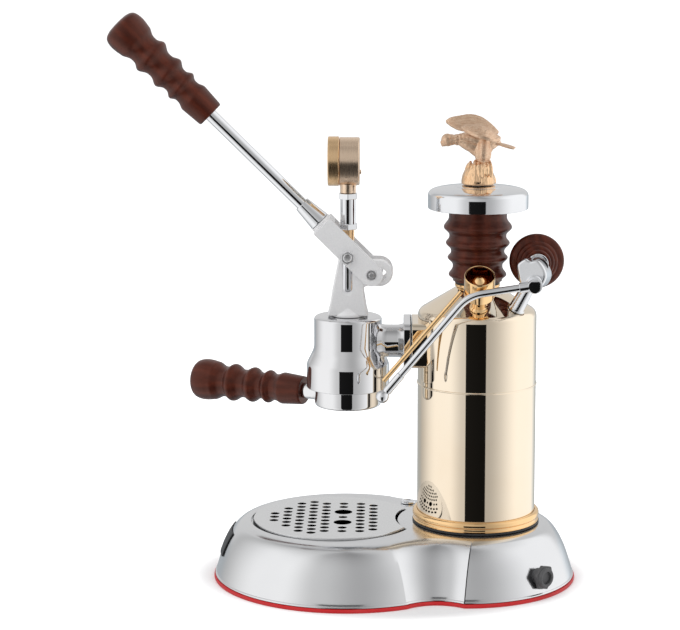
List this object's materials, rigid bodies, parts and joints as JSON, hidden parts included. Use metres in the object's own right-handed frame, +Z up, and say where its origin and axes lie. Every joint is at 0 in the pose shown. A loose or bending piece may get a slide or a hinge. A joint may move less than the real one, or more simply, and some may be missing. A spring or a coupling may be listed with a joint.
{
  "type": "lever espresso machine",
  "caption": "Lever espresso machine: round boiler and piston group on a round-ended drip base, with raised lever, steam wand, gauge, bottomless portafilter and bird finial.",
  "frame": {"origin": "centre of the bounding box on the table plane, under the machine", "axes": "+Z up, -X towards the lever and the portafilter, +X towards the boiler's back, -Y the side with the steam wand and the safety valve"},
  "size_m": [0.3848, 0.2186, 0.4703],
  "materials": {
    "chrome": "polished chrome plate",
    "gold": "gold plated, mirror polished",
    "brass": "satin brass",
    "steel": "satin stainless steel",
    "wood": "turned hardwood, stained red-brown, satin",
    "rubber": "black seal rubber",
    "red_rubber": "red rubber rim",
    "black_plastic": "black moulded plastic",
    "enamel": "white enamel with plain dial marks",
    "glass": "clear glass"
  },
  "bodies": {
    "machine": {"base_gasket": "red_rubber", "bottom_plate": "steel", "base_shell": "chrome", "front_plate": "black_plastic", "emblem_button": "chrome", "cable_gland": "black_plastic", "switch_bezel": "black_plastic", "foot_gasket": "rubber", "foot_ring": "gold", "boiler_shell": "gold", "heating_element": "steel", "filler_collar": "gold", "valve_body": "gold", "discharge_pipe": "gold", "sight_fitting_low": "chrome", "sight_fitting_high": "chrome", "sight_tube": "glass", "sight_shield": "chrome", "steam_tap_body": "chrome", "group_body": "chrome", "flange_gasket": "rubber", "flange_bolt_near": "steel", "flange_bolt_far": "steel", "group_gasket": "rubber", "shower_screen": "steel", "group_tower": "chrome"},
    "tray": {"drip_tray": "black_plastic"},
    "grate": {"drip_grate": "chrome"},
    "switch": {"switch_rocker": "black_plastic"},
    "cap": {"cap_stem": "brass", "cap_gasket": "rubber", "cap_grip": "wood", "cap_disc": "chrome", "eagle_finial": "gold"},
    "piston": {"piston_head": "brass", "piston_seal": "rubber", "piston_rod": "steel", "rod_pin": "chrome", "gauge_neck": "brass", "gauge_tube": "chrome", "gauge_case": "brass", "gauge_dial": "enamel", "gauge_glass": "glass", "gauge_bezel": "brass"},
    "needle": {"gauge_needle": "black_plastic"},
    "lever": {"lever_fork": "chrome", "lever_sleeve": "chrome", "lever_rod": "chrome", "lever_handle": "wood", "fulcrum_pin": "steel"},
    "portafilter": {"portafilter_cup": "chrome", "portafilter_handle": "wood", "filter_basket": "steel"},
    "knob": {"steam_spindle": "chrome", "steam_knob": "wood"},
    "wand": {"wand_swivel": "chrome", "steam_wand": "chrome", "steam_nozzle": "chrome"}
  },
  "joints": [
    {"name": "tray_lift", "type": "slide", "parent": "machine", "child": "tray", "axis": [0, 0, 1], "range_m": [0, 0.04]},
    {"name": "grate_lift", "type": "slide", "parent": "tray", "child": "grate", "axis": [0, 0, 1], "range_m": [0, 0.04]},
    {"name": "switch_rock", "type": "hinge", "parent": "machine", "child": "switch", "pos_m": [0.14021, 0.07844, 0.02112], "axis": [0.1136, 0.2136, -0.9703], "range_deg": [-8, 8]},
    {"name": "cap_lift", "type": "slide", "parent": "machine", "child": "cap", "axis": [0, 0, 1], "range_m": [0, 0.06]},
    {"name": "piston_slide", "type": "slide", "parent": "machine", "child": "piston", "axis": [0, 0, -1], "range_m": [-0.0013, 0.0263]},
    {"name": "lever_swing", "type": "hinge", "parent": "piston", "child": "lever", "pos_m": [0.0037, 0, 0.27215], "axis": [0, -1, 0], "range_deg": [-3, 66]},
    {"name": "needle_turn", "type": "hinge", "parent": "piston", "child": "needle", "pos_m": [0.0037, 0, 0.3496], "axis": [1, 0, 0], "range_deg": [0, 270]},
    {"name": "portafilter_turn", "type": "hinge", "parent": "machine", "child": "portafilter", "pos_m": [0.0037, 0, 0.1534], "axis": [0, 0, 1], "range_deg": [-60, 0]},
    {"name": "knob_turn", "type": "hinge", "parent": "machine", "child": "knob", "pos_m": [0.1587, -0.02, 0.2685], "axis": [0, 1, 0], "range_deg": [0, 540]},
    {"name": "wand_swing", "type": "hinge", "parent": "machine", "child": "wand", "pos_m": [0.154, -0.0625, 0.2578], "axis": [0, -1, 0], "range_deg": [0, 60]}
  ],
  "couplings": [
    {"joint": "piston_slide", "follows": "lever_swing", "m_per_rad": 0.0227}
  ]
}
